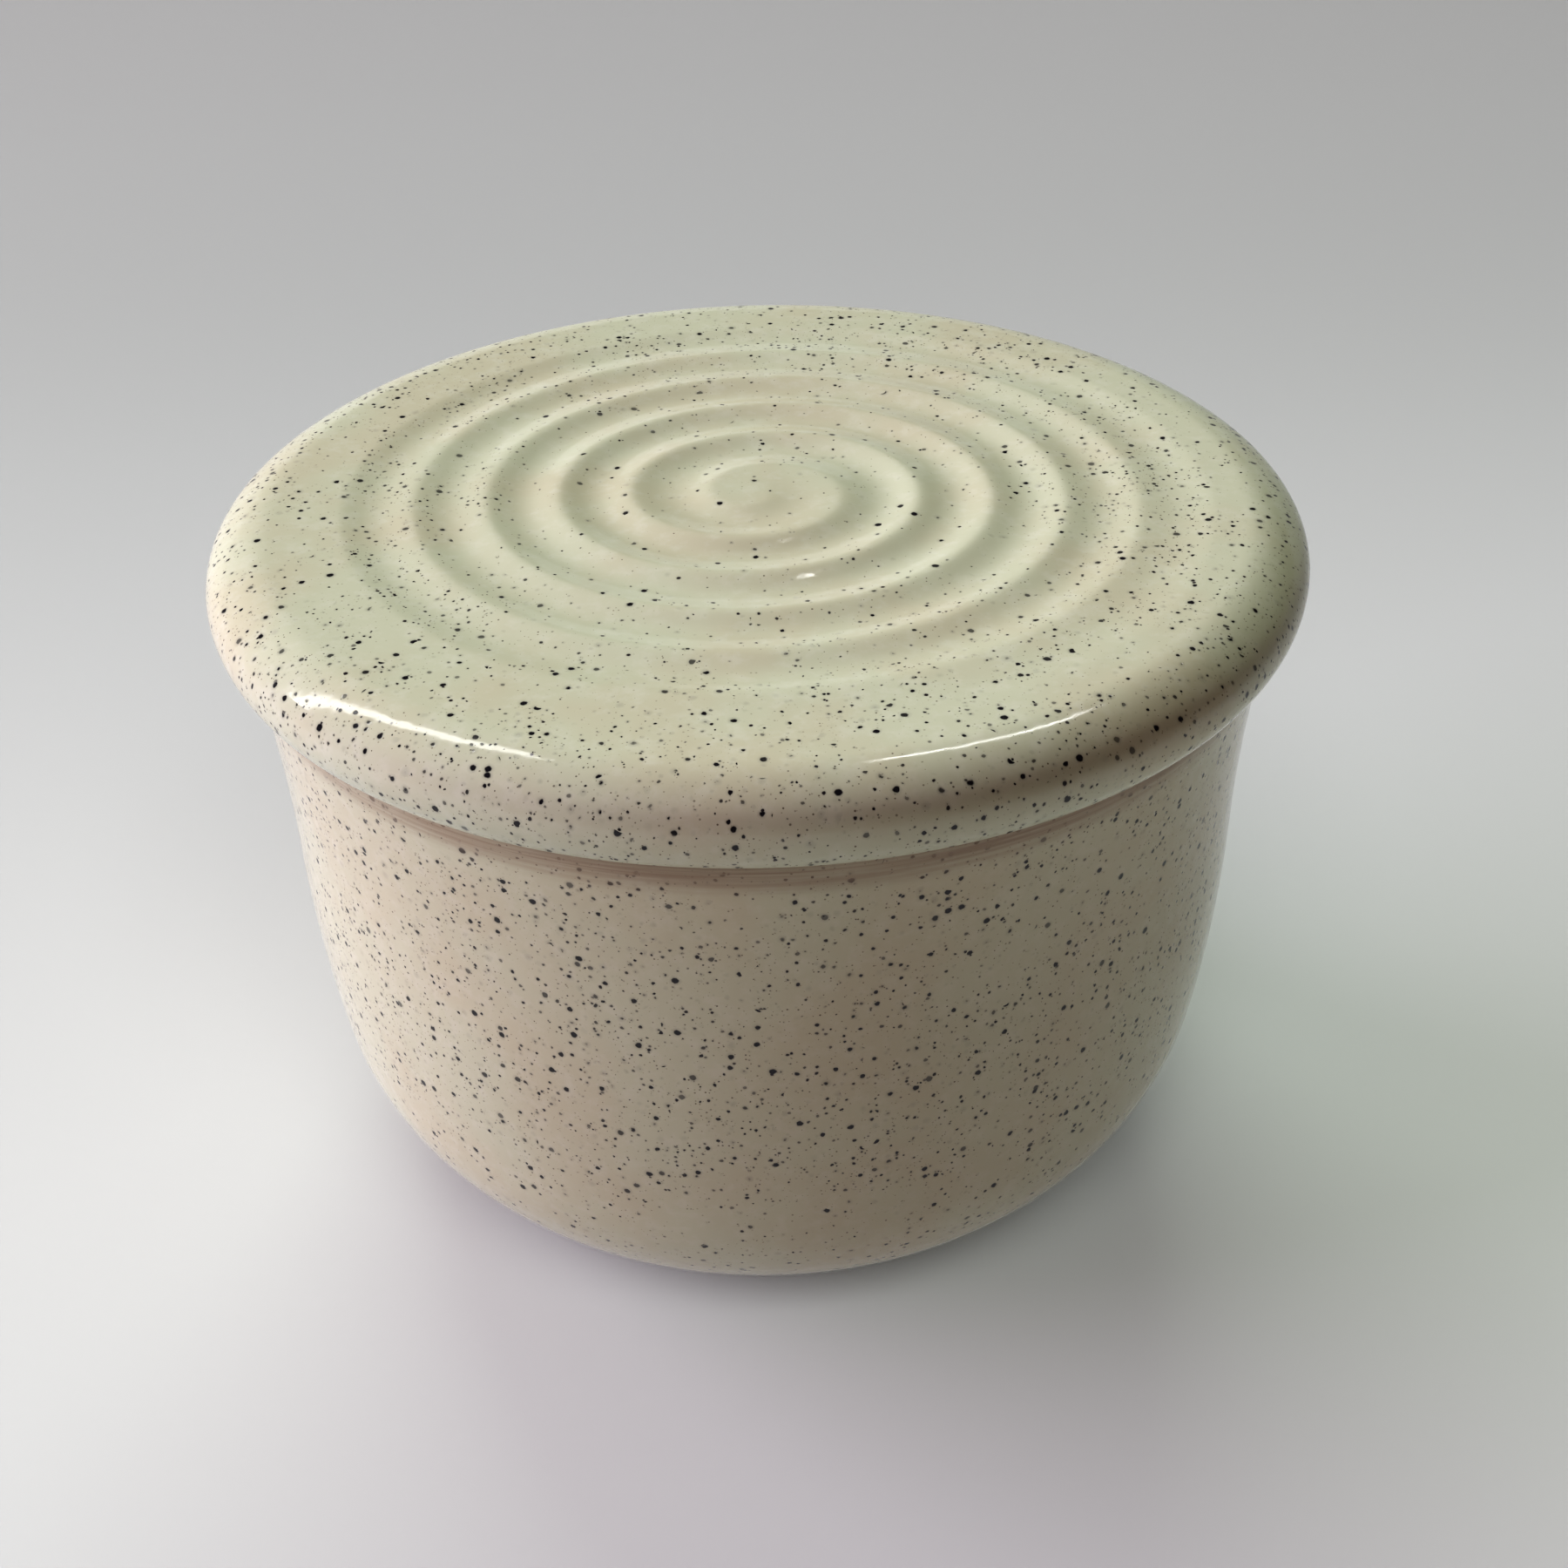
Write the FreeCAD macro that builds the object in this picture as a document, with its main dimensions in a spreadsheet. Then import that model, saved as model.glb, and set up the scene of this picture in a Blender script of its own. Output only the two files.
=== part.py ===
import FreeCAD, Part
import Sketcher

import math
import os

# A water-seal butter crock of wheel-thrown stoneware, in millimetres, with +Z up.
# The origin is the middle of the foot ring's resting face, on the surface the crock stands on.
# The crock is a thrown vessel on a bare clay foot ring. The lid is a thrown disc with a rolled rim and a
# spiral finger groove, and a bell for the butter is luted mouth-down under it, inside the crock.

SIZES = [
    ("crock_height", 77.0, "rest face to the top of the lip, which carries the lid"),
    ("wall_thickness", 5.0, "fired thickness of the crock's wall"),
    ("floor_thickness", 6.0, "thickness of the crock's floor"),
    ("neck_radius", 54.8, "outer radius of the wall where it stands upright"),
    ("neck_height", 49.0, "height of that upright place"),
    ("flare_radius", 182.0, "curve of the outer wall above the neck, bending outwards"),
    ("belly_radius", 162.0, "curve of the outer wall below the neck, bending inwards"),
    ("heel_radius", 27.8, "curve of the outer wall as it rolls under the crock"),
    ("base_radius", 32.8, "where the rolled wall ends and the flat underside begins"),
    ("inner_heel_radius", 21.0, "curve inside the crock from the wall to the floor"),
    ("lip_round", 2.0, "rounding of the lip's two edges"),
    ("foot_height", 3.0, "height of the foot ring"),
    ("foot_outer_radius", 32.4, "outer radius of the foot ring under the vessel"),
    ("foot_inner_radius", 26.0, "inner radius of the foot ring"),
    ("foot_draft", 0.8, "how far the ring's outer face leans in on its way down"),
    ("foot_round", 0.9, "rounding of the ring's two lower edges"),
    ("lid_radius", 60.0, "radius of the lid at its widest"),
    ("lid_thickness", 8.0, "thickness of the lid"),
    ("rim_widest_height", 3.3, "height of the widest place over the lid's underside"),
    ("rim_under_radius", 4.85, "rim's curve below its widest place"),
    ("rim_side_radius", 3.6, "rim's curve above its widest place"),
    ("rim_top_radius", 9.4, "flatter curve that rolls the lid's top over into the rim"),
    ("groove_pitch", 8.0, "growth of the finger groove's radius in one turn"),
    ("groove_start", 4.7, "distance from the axis where the groove starts"),
    ("groove_depth", 0.8, "depth of the groove"),
    ("groove_half_width", 3.0, "half of the groove's width at the lid's top"),
    ("bell_radius", 40.0, "outer radius of the bell at the lid"),
    ("bell_wall", 4.5, "thickness of the bell's wall"),
    ("bell_depth", 57.0, "how far the bell hangs below the lid"),
    ("bell_upright", 17.0, "length of the bell's upright wall below the lid"),
    ("bell_curve_radius", 300.0, "curve of the bell's wall towards its mouth"),
    ("bell_lip_round", 1.9, "rounding of the bell's mouth"),
    ("coil_radius", 3.5, "section of the clay coils that join the bell to the lid"),
]
GROOVE_HALF_TURNS = 10
GROOVE_CLEARANCE = 1.0  # how far the groove's cutting section stands over the lid's top

doc = FreeCAD.newDocument("butter_crock")
sheet = doc.addObject("Spreadsheet::Sheet", "sizes")
for row, (alias, number, meaning) in enumerate(SIZES, start=1):
    sheet.set(f"A{row}", meaning)
    sheet.set(f"B{row}", str(number))
    sheet.setAlias(f"B{row}", alias)
doc.recompute()


def size(alias):
    """A driving dimension as the sheet holds it."""
    return float(sheet.get(alias))


def bound(expression):
    """The expression with the sheet's name put before each of its aliases."""
    words = expression.split(" ")
    aliases = {alias for alias, _, _ in SIZES}
    return " ".join(f"{sheet.Name}.{word}" if word in aliases else word for word in words)


def new_body(label):
    body = doc.addObject("PartDesign::Body", label)
    body.Label = label
    body.Placement = FreeCAD.Placement()
    return body


def new_sketch(body, role, name):
    """A sketch on one of the body's own origin planes, named by its role."""
    plane = next(feature for feature in body.Origin.OriginFeatures if feature.Role == role)
    sketch = body.newObject("Sketcher::SketchObject", name)
    sketch.AttachmentSupport = (plane, "")
    sketch.MapMode = "FlatFace"
    return sketch


def point(across, up):
    return FreeCAD.Vector(across, up, 0)


def line(start, end):
    return Part.LineSegment(point(*start), point(*end))


def arc(centre, start, end):
    """The arc about centre that runs counter-clockwise from start to end."""
    first = math.atan2(start[1] - centre[1], start[0] - centre[0])
    last = math.atan2(end[1] - centre[1], end[0] - centre[0])
    radius = math.dist(centre, start)
    return Part.ArcOfCircle(Part.Circle(point(*centre), FreeCAD.Vector(0, 0, 1), radius), first, last)


def join(sketch, first, first_end, second, second_end, smooth=False):
    """Joins the ends of two pieces of an outline, smoothly if their curves run into each other."""
    kind = "Tangent" if smooth else "Coincident"
    sketch.addConstraint(Sketcher.Constraint(kind, first, first_end, second, second_end))


def drive(sketch, kind, places, number, expression):
    """Adds a dimension and binds it to the sheet."""
    index = sketch.addConstraint(Sketcher.Constraint(kind, *places, number))
    sketch.setExpression(f"Constraints[{index}]", bound(expression))


def pin(sketch, piece, end, across, across_expression, up, up_expression):
    """Places one end (or the centre, end 3) of a piece by its distances from the sketch's origin."""
    drive(sketch, "DistanceX", (-1, 1, piece, end), across, across_expression)
    drive(sketch, "DistanceY", (-1, 1, piece, end), up, up_expression)


def revolve(body, sketch, name):
    """Turns the outline once about the crock's upright axis."""
    turned = body.newObject("PartDesign::Revolution", name)
    turned.Profile = sketch
    turned.ReferenceAxis = (sketch, ["V_Axis"])
    turned.Angle = 360.0
    doc.recompute()
    return turned


def round_edges(body, base, name, alias, wanted):
    """Rounds the base's circular edges that wanted accepts, each given by its radius and height."""
    names = []
    for number, edge in enumerate(base.Shape.Edges, start=1):
        whole = isinstance(edge.Curve, Part.Circle) and edge.isClosed()
        if whole and wanted(edge.Curve.Radius, edge.Curve.Center.z):
            names.append(f"Edge{number}")
    rounding = body.newObject("PartDesign::Fillet", name)
    rounding.Base = (base, names)
    rounding.Radius = size(alias)
    rounding.setExpression("Radius", bound(alias))
    doc.recompute()
    return len(names)


def at_height(height):
    return lambda radius, level: abs(level - height) < 0.01


def crossings(first, first_radius, second, second_radius):
    """The two points where two circles cross."""
    gap = math.dist(first, second)
    along = (first_radius**2 - second_radius**2 + gap**2) / (2 * gap)
    off = math.sqrt(first_radius**2 - along**2)
    way = ((second[0] - first[0]) / gap, (second[1] - first[1]) / gap)
    between = (first[0] + along * way[0], first[1] + along * way[1])
    return [(between[0] + side * way[1], between[1] - side * way[0]) for side in (off, -off)]


def make_crock_vessel():
    """The thrown vessel: flat floor, rolled heel, belly, upright neck, slight flare and rounded lip."""
    top = size("crock_height")
    neck = (size("neck_radius"), size("neck_height"))
    wall = size("wall_thickness")
    flare = size("flare_radius")
    belly = size("belly_radius")
    heel = size("heel_radius")
    inner_heel = size("inner_heel_radius")
    underside = size("foot_height")
    floor = underside + size("floor_thickness")
    base_edge = (size("base_radius"), underside)
    flare_centre = (neck[0] + flare, neck[1])
    belly_centre = (neck[0] - belly, neck[1])
    heel_centres = crossings(belly_centre, belly - heel, base_edge, heel)
    heel_centre = max(heel_centres, key=lambda place: place[1])
    reach = belly / (belly - heel)
    heel_top = tuple(b + (c - b) * reach for b, c in zip(belly_centre, heel_centre))
    lip_outside = (flare_centre[0] - math.sqrt(flare**2 - (top - neck[1]) ** 2), top)
    lip_inside = (flare_centre[0] - math.sqrt((flare + wall) ** 2 - (top - neck[1]) ** 2), top)
    inner_neck = (neck[0] - wall, neck[1])
    inner_belly = belly - wall
    inner_heel_height = floor + inner_heel
    span = math.sqrt((inner_belly - inner_heel) ** 2 - (inner_heel_height - neck[1]) ** 2)
    inner_heel_centre = (belly_centre[0] + span, inner_heel_height)
    inner_reach = inner_belly / (inner_belly - inner_heel)
    inner_heel_top = tuple(b + (c - b) * inner_reach for b, c in zip(belly_centre, inner_heel_centre))
    floor_edge = (inner_heel_centre[0], floor)

    body = new_body("crock_vessel")
    outline = new_sketch(body, "XZ_Plane", "crock_outline")
    outline.addGeometry(
        [
            line((0, underside), base_edge),
            arc(heel_centre, base_edge, heel_top),
            arc(belly_centre, heel_top, neck),
            arc(flare_centre, lip_outside, neck),
            line(lip_outside, lip_inside),
            arc(flare_centre, lip_inside, inner_neck),
            arc(belly_centre, inner_heel_top, inner_neck),
            arc(inner_heel_centre, floor_edge, inner_heel_top),
            line(floor_edge, (0, floor)),
            line((0, floor), (0, underside)),
        ],
        False,
    )
    join(outline, 0, 2, 1, 1)
    join(outline, 1, 2, 2, 1, smooth=True)
    join(outline, 2, 2, 3, 2, smooth=True)
    join(outline, 3, 1, 4, 1)
    join(outline, 4, 2, 5, 1)
    join(outline, 5, 2, 6, 2, smooth=True)
    join(outline, 6, 1, 7, 2, smooth=True)
    join(outline, 7, 1, 8, 1, smooth=True)
    join(outline, 8, 2, 9, 1)
    join(outline, 9, 2, 0, 1)
    join(outline, 3, 3, 5, 3)
    join(outline, 2, 3, 6, 3)
    for flat in (0, 4, 8):
        outline.addConstraint(Sketcher.Constraint("Horizontal", flat))
    outline.addConstraint(Sketcher.Constraint("PointOnObject", 0, 1, -2))
    outline.addConstraint(Sketcher.Constraint("PointOnObject", 8, 2, -2))
    pin(outline, 1, 1, base_edge[0], "base_radius", underside, "foot_height")
    pin(outline, 2, 2, neck[0], "neck_radius", neck[1], "neck_height")
    drive(outline, "DistanceY", (-1, 1, 3, 3), neck[1], "neck_height")
    drive(outline, "Radius", (1,), heel, "heel_radius")
    drive(outline, "Radius", (2,), belly, "belly_radius")
    drive(outline, "Radius", (3,), flare, "flare_radius")
    drive(outline, "Radius", (5,), flare + wall, "flare_radius + wall_thickness")
    drive(outline, "Radius", (7,), inner_heel, "inner_heel_radius")
    drive(outline, "DistanceY", (-1, 1, 4, 1), top, "crock_height")
    drive(outline, "DistanceY", (-1, 1, 8, 2), floor, "foot_height + floor_thickness")
    turned = revolve(body, outline, "crock_turned")
    rounded = round_edges(body, turned, "lip_rounding", "lip_round", at_height(top))
    check(rounded == 2, "the lip has two edges to round")
    return body


def make_foot_ring():
    """The bare clay ring luted under the floor. Its lower edges are rounded where they meet the table."""
    top = size("foot_height")
    outside = size("foot_outer_radius")
    inside = size("foot_inner_radius")
    draft = size("foot_draft")
    body = new_body("foot_ring")
    outline = new_sketch(body, "XZ_Plane", "foot_outline")
    corners = [(inside, top), (inside, 0), (outside - draft, 0), (outside, top)]
    for corner, following in zip(corners, corners[1:] + corners[:1]):
        outline.addGeometry(line(corner, following), False)
    for piece in range(4):
        join(outline, piece, 2, (piece + 1) % 4, 1)
    outline.addConstraint(Sketcher.Constraint("Vertical", 0))
    outline.addConstraint(Sketcher.Constraint("Horizontal", 3))
    outline.addConstraint(Sketcher.Constraint("PointOnObject", 1, 1, -1))
    outline.addConstraint(Sketcher.Constraint("PointOnObject", 1, 2, -1))
    pin(outline, 0, 1, inside, "foot_inner_radius", top, "foot_height")
    drive(outline, "DistanceX", (-1, 1, 3, 1), outside, "foot_outer_radius")
    drive(
        outline, "DistanceX", (-1, 1, 1, 2), outside - draft, "foot_outer_radius - foot_draft"
    )
    turned = revolve(body, outline, "foot_turned")
    rounded = round_edges(body, turned, "foot_rounding", "foot_round", at_height(0))
    check(rounded == 2, "the foot ring has two lower edges to round")
    return body


def make_lid_disc():
    """The thrown lid: flat underside with a sharp edge, rolled rim, and a spiral finger groove on top."""
    underside = size("crock_height")
    top = underside + size("lid_thickness")
    radius = size("lid_radius")
    widest = underside + size("rim_widest_height")
    under = size("rim_under_radius")
    side = size("rim_side_radius")
    roll = size("rim_top_radius")
    under_centre = (radius - under, widest)
    side_centre = (radius - side, widest)
    sharp_edge = (under_centre[0] + math.sqrt(under**2 - (widest - underside) ** 2), underside)
    roll_rise = top - roll - widest
    roll_centre = (side_centre[0] - math.sqrt((roll - side) ** 2 - roll_rise**2), top - roll)
    reach = roll / (roll - side)
    shoulder = tuple(r + (s - r) * reach for r, s in zip(roll_centre, side_centre))
    flat_edge = (roll_centre[0], top)

    body = new_body("lid_disc")
    outline = new_sketch(body, "XZ_Plane", "lid_outline")
    outline.addGeometry(
        [
            line((0, underside), sharp_edge),
            arc(under_centre, sharp_edge, (radius, widest)),
            arc(side_centre, (radius, widest), shoulder),
            arc(roll_centre, shoulder, flat_edge),
            line(flat_edge, (0, top)),
            line((0, top), (0, underside)),
        ],
        False,
    )
    join(outline, 0, 2, 1, 1)
    join(outline, 1, 2, 2, 1, smooth=True)
    join(outline, 2, 2, 3, 1, smooth=True)
    join(outline, 3, 2, 4, 1, smooth=True)
    join(outline, 4, 2, 5, 1)
    join(outline, 5, 2, 0, 1)
    outline.addConstraint(Sketcher.Constraint("Horizontal", 0))
    outline.addConstraint(Sketcher.Constraint("Horizontal", 4))
    outline.addConstraint(Sketcher.Constraint("PointOnObject", 0, 1, -2))
    outline.addConstraint(Sketcher.Constraint("PointOnObject", 4, 2, -2))
    widest_expression = "crock_height + rim_widest_height"
    drive(outline, "DistanceY", (-1, 1, 0, 1), underside, "crock_height")
    drive(outline, "DistanceY", (-1, 1, 5, 1), top, "crock_height + lid_thickness")
    pin(outline, 1, 2, radius, "lid_radius", widest, widest_expression)
    drive(outline, "DistanceY", (-1, 1, 1, 3), widest, widest_expression)
    drive(outline, "Radius", (1,), under, "rim_under_radius")
    drive(outline, "Radius", (2,), side, "rim_side_radius")
    drive(outline, "Radius", (3,), roll, "rim_top_radius")
    turned = revolve(body, outline, "lid_turned")
    plain_volume = turned.Shape.Volume
    cut_groove(body, top)
    check(body.Shape.Volume < plain_volume - 100, "the finger groove is cut into the lid")
    return body


def cut_groove(body, top):
    """The finger groove: half turns about two centres, each half a pitch larger than the one before."""
    start = size("groove_start")
    pitch = size("groove_pitch")
    path = new_sketch(body, "XY_Plane", "groove_path")
    path.AttachmentOffset = FreeCAD.Placement(FreeCAD.Vector(0, 0, top), FreeCAD.Rotation())
    path.setExpression(".AttachmentOffset.Base.z", bound("crock_height + lid_thickness"))
    for half in range(GROOVE_HALF_TURNS):
        front = half % 2 == 0
        middle = -pitch / 4 if front else pitch / 4
        radius = start + pitch / 4 + half * pitch / 2
        right = (middle + radius, 0)
        left = (middle - radius, 0)
        turn = arc((middle, 0), left, right) if front else arc((middle, 0), right, left)
        path.addGeometry(turn, False)
        if half:
            join(path, half - 1, 1, half, 2, smooth=True)
        path.addConstraint(Sketcher.Constraint("PointOnObject", half, 3, -1))
        side = "-1" if front else "1"
        drive(path, "DistanceX", (-1, 1, half, 3), middle, f"{side} * groove_pitch / 4")
    path.addConstraint(Sketcher.Constraint("PointOnObject", 0, 2, -1))
    path.addConstraint(Sketcher.Constraint("PointOnObject", GROOVE_HALF_TURNS - 1, 1, -1))
    drive(path, "DistanceX", (-1, 1, 0, 2), start, "groove_start")

    depth = size("groove_depth")
    half_width = size("groove_half_width")
    curve = (half_width**2 + depth**2) / (2 * depth)
    centre = (start, top - depth + curve)
    brim = top + GROOVE_CLEARANCE
    reach = math.sqrt(curve**2 - (brim - centre[1]) ** 2)
    section = new_sketch(body, "XZ_Plane", "groove_section")
    left_brim = (start - reach, brim)
    right_brim = (start + reach, brim)
    section.addGeometry([arc(centre, left_brim, right_brim), line(right_brim, left_brim)], False)
    join(section, 0, 2, 1, 1)
    join(section, 1, 2, 0, 1)
    section.addConstraint(Sketcher.Constraint("Horizontal", 1))
    curve_expression = "( groove_half_width ^ 2 + groove_depth ^ 2 ) / ( 2 * groove_depth )"
    height_expression = f"crock_height + lid_thickness - groove_depth + {curve_expression}"
    pin(section, 0, 3, start, "groove_start", centre[1], height_expression)
    drive(section, "Radius", (0,), curve, curve_expression)
    brim_expression = f"crock_height + lid_thickness + {GROOVE_CLEARANCE}"
    drive(section, "DistanceY", (-1, 1, 1, 1), brim, brim_expression)
    doc.recompute()
    groove = body.newObject("PartDesign::SubtractivePipe", "finger_groove")
    groove.Profile = section
    groove.Spine = (path, [f"Edge{number}" for number in range(1, GROOVE_HALF_TURNS + 1)])
    doc.recompute()


def make_butter_bell():
    """The thrown bell: an open ring of clay hanging mouth-down, upright at the lid and drawn in below."""
    top = size("crock_height")
    outside = size("bell_radius")
    wall = size("bell_wall")
    mouth = top - size("bell_depth")
    bend = top - size("bell_upright")
    curve = size("bell_curve_radius")
    centre = (outside - curve, bend)
    inside = outside - wall
    drop = mouth - bend
    outer_mouth = (centre[0] + math.sqrt(curve**2 - drop**2), mouth)
    inner_mouth = (centre[0] + math.sqrt((curve - wall) ** 2 - drop**2), mouth)
    body = new_body("butter_bell")
    outline = new_sketch(body, "XZ_Plane", "bell_outline")
    outline.addGeometry(
        [
            arc(centre, outer_mouth, (outside, bend)),
            line((outside, bend), (outside, top)),
            line((outside, top), (inside, top)),
            line((inside, top), (inside, bend)),
            arc(centre, inner_mouth, (inside, bend)),
            line(inner_mouth, outer_mouth),
        ],
        False,
    )
    join(outline, 0, 2, 1, 1, smooth=True)
    join(outline, 1, 2, 2, 1)
    join(outline, 2, 2, 3, 1)
    join(outline, 3, 2, 4, 2, smooth=True)
    join(outline, 4, 1, 5, 1)
    join(outline, 5, 2, 0, 1)
    join(outline, 0, 3, 4, 3)
    outline.addConstraint(Sketcher.Constraint("Vertical", 1))
    outline.addConstraint(Sketcher.Constraint("Vertical", 3))
    outline.addConstraint(Sketcher.Constraint("Horizontal", 2))
    outline.addConstraint(Sketcher.Constraint("Horizontal", 5))
    pin(outline, 2, 1, outside, "bell_radius", top, "crock_height")
    drive(outline, "DistanceX", (-1, 1, 2, 2), inside, "bell_radius - bell_wall")
    drive(outline, "Radius", (0,), curve, "bell_curve_radius")
    drive(outline, "DistanceY", (-1, 1, 0, 2), bend, "crock_height - bell_upright")
    drive(outline, "DistanceY", (-1, 1, 5, 1), mouth, "crock_height - bell_depth")
    turned = revolve(body, outline, "bell_turned")
    rounded = round_edges(body, turned, "mouth_rounding", "bell_lip_round", at_height(mouth))
    check(rounded == 2, "the bell's mouth has two edges to round")
    return body


def make_luting_coil(label, wall_expression, wall_radius, way):
    """A quarter-round coil pressed into the corner between the bell's wall and the lid's underside."""
    top = size("crock_height")
    coil = size("coil_radius")
    corner = (wall_radius, top)
    side = (wall_radius + way * coil, top)
    under = (wall_radius, top - coil)
    body = new_body(label)
    outline = new_sketch(body, "XZ_Plane", f"{label}_outline")
    bead = arc(corner, under, side) if way > 0 else arc(corner, side, under)
    outline.addGeometry([bead, line(under, corner), line(corner, side)], False)
    under_end, side_end = (1, 2) if way > 0 else (2, 1)
    join(outline, 0, under_end, 1, 1)
    join(outline, 1, 2, 2, 1)
    join(outline, 2, 2, 0, side_end)
    join(outline, 0, 3, 1, 2)
    outline.addConstraint(Sketcher.Constraint("Vertical", 1))
    outline.addConstraint(Sketcher.Constraint("Horizontal", 2))
    pin(outline, 2, 1, wall_radius, wall_expression, top, "crock_height")
    drive(outline, "Radius", (0,), coil, "coil_radius")
    revolve(body, outline, f"{label}_turned")
    return body


def check(true, message):
    if not true:
        raise RuntimeError(f"not as designed: {message}")


sub_parts = [
    make_crock_vessel(),
    make_foot_ring(),
    make_lid_disc(),
    make_butter_bell(),
    make_luting_coil("outer_luting_coil", "bell_radius", size("bell_radius"), 1),
    make_luting_coil(
        "inner_luting_coil", "bell_radius - bell_wall", size("bell_radius") - size("bell_wall"), -1
    ),
]
doc.recompute()

for thing in doc.Objects:
    check(not {"Invalid", "Error"} & set(thing.State), f"{thing.Label} recomputed without an error")
for body in sub_parts:
    check(not body.Shape.isNull() and body.Shape.isValid(), f"{body.Label} is a valid shape")
    check(len(body.Shape.Solids) == 1, f"{body.Label} is one solid")

os.makedirs("parts", exist_ok=True)
for body in sub_parts:
    body.Shape.exportStep(f"parts/{body.Label}.step")
    print(f"{body.Label}: {body.Shape.Volume / 1000:.2f} cm3")
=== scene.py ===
import math

import bmesh
import bpy
import numpy as np
from mathutils import Matrix, Vector


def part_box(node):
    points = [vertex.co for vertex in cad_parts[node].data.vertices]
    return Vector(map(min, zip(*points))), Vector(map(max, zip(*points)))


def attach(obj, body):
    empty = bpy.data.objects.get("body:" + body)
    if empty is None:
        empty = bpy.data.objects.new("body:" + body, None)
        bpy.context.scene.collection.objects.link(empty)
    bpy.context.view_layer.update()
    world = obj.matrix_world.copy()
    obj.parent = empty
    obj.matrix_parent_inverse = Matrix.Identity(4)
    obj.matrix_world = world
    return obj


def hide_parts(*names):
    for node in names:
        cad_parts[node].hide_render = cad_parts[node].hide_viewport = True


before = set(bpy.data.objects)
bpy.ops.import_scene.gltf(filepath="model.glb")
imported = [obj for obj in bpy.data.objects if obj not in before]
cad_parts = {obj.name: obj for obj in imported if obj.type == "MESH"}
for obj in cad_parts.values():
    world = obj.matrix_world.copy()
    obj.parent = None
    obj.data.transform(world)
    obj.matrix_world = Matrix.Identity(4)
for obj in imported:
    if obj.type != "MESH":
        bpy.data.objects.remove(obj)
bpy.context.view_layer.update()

MM = 0.001
TURN = 2 * math.pi

# Mesh fineness: points round a turned piece, and along its outline.
SEGMENTS = 384
ARC_STEP = 0.6 * MM
MOST_STEPS_PER_RADIAN = 100
LEAST_STEPS = 6
UNDERSIDE_STEP = 1.5 * MM
LID_UNDERSIDE_STEP = 1.0 * MM
LID_TOP_STEP = 0.4 * MM

# Sizes that the frame gives: heights and radii of the nodes' own boxes.
LID_LOW, LID_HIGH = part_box("lid_disc")
FOOT_LOW, FOOT_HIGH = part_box("foot_ring")
BELL_LOW, BELL_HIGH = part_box("butter_bell")
VESSEL_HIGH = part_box("crock_vessel")[1]

LID_TOP = LID_HIGH[2]
LID_UNDERSIDE = LID_LOW[2]
LID_RADIUS = round(LID_HIGH[0] / MM) * MM
LIP_HEIGHT = VESSEL_HIGH[2]
FOOT_TOP = FOOT_HIGH[2]
FOOT_RADIUS = FOOT_HIGH[0]
BELL_RADIUS = BELL_HIGH[0]
BELL_MOUTH = BELL_LOW[2]

# The lid's rim, from its nearly sharp lower edge up and over on to the top.
RIM_WIDEST = LID_UNDERSIDE + 3.3 * MM
RIM_UNDER_RADIUS = 4.85 * MM
RIM_SIDE_RADIUS = 3.6 * MM
RIM_TOP_RADIUS = 9.4 * MM
EDGE_ROUND = 0.15 * MM

# The spiral finger groove in the lid's top. Its crest starts the count of its turns.
GROOVE_PITCH = 8.0 * MM
GROOVE_CREST = 4.7 * MM
GROOVE_DEPTH = 0.62 * MM
GROOVE_FIRST_TURN = 0.1
GROOVE_LAST_TURN = 5.0
GROOVE_SHARPNESS = 1.5
# How far the thrown spiral strays from a true one, once it is past the middle of the lid.
GROOVE_LEAN = 0.5 * MM
GROOVE_SPREAD = 1.0 * MM
STRAY_FROM = 6 * MM
STRAY_FULL = 14 * MM
# The share of its depth that the groove loses from this turn to its last.
GROOVE_SHALLOWING = 0.35
SHALLOW_FROM_TURN = 2.0

# The crock's wall, the same curves as in the frame's solid.
WALL = 5.0 * MM
FLOOR = FOOT_TOP + 6.0 * MM
NECK_RADIUS = 54.8 * MM
NECK_HEIGHT = 49.0 * MM
FLARE_RADIUS = 182.0 * MM
BELLY_RADIUS = 162.0 * MM
HEEL_RADIUS = 27.8 * MM
BASE_RADIUS = 32.8 * MM
INNER_HEEL_RADIUS = 21.0 * MM
LIP_ROUND = 2.0 * MM
OUTER_LIP_ROUND = 1.8 * MM

# The foot ring, the bell and the coils.
FOOT_INNER_RADIUS = 26.0 * MM
FOOT_DRAFT = 0.8 * MM
FOOT_ROUND = 0.9 * MM
BELL_WALL = 4.5 * MM
BELL_BEND = BELL_HIGH[2] - 17.0 * MM
BELL_CURVE_RADIUS = 300.0 * MM
BELL_ROUND = 1.9 * MM
COIL = 3.5 * MM

# Glaze and clay colours, and painted shade on the crock, as linear red, green and blue.
IVORY = (0.455, 0.468, 0.355, 1)
# Painted shade: the crock's whole glaze is dimmed a little in green and blue, a warm shade that stands in for
# the shade on its walls.
WALL_PAINTED_SHADE = (1.0, 0.955, 0.93, 1)
IVORY_WARM = (0.45, 0.435, 0.325, 1)
IVORY_PALE = (0.53, 0.535, 0.45, 1)
# Painted shadow: the brown shade that the lid's rim casts on the crock's wall just under the lip.
LID_SHADOW_BROWN = (0.25, 0.18, 0.12, 1)
SPECK_BLACK = (0.008, 0.007, 0.010, 1)
SPECK_DARK = (0.022, 0.018, 0.020, 1)
SPECK_BROWN = (0.07, 0.05, 0.035, 1)
SPECK_STAIN = (0.13, 0.13, 0.13, 1)
CLAY = (0.32, 0.24, 0.16, 1)
CLAY_WARM = (0.27, 0.18, 0.11, 1)
CLAY_SAND = (0.40, 0.33, 0.24, 1)

GLAZE_IOR = 1.45

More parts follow.
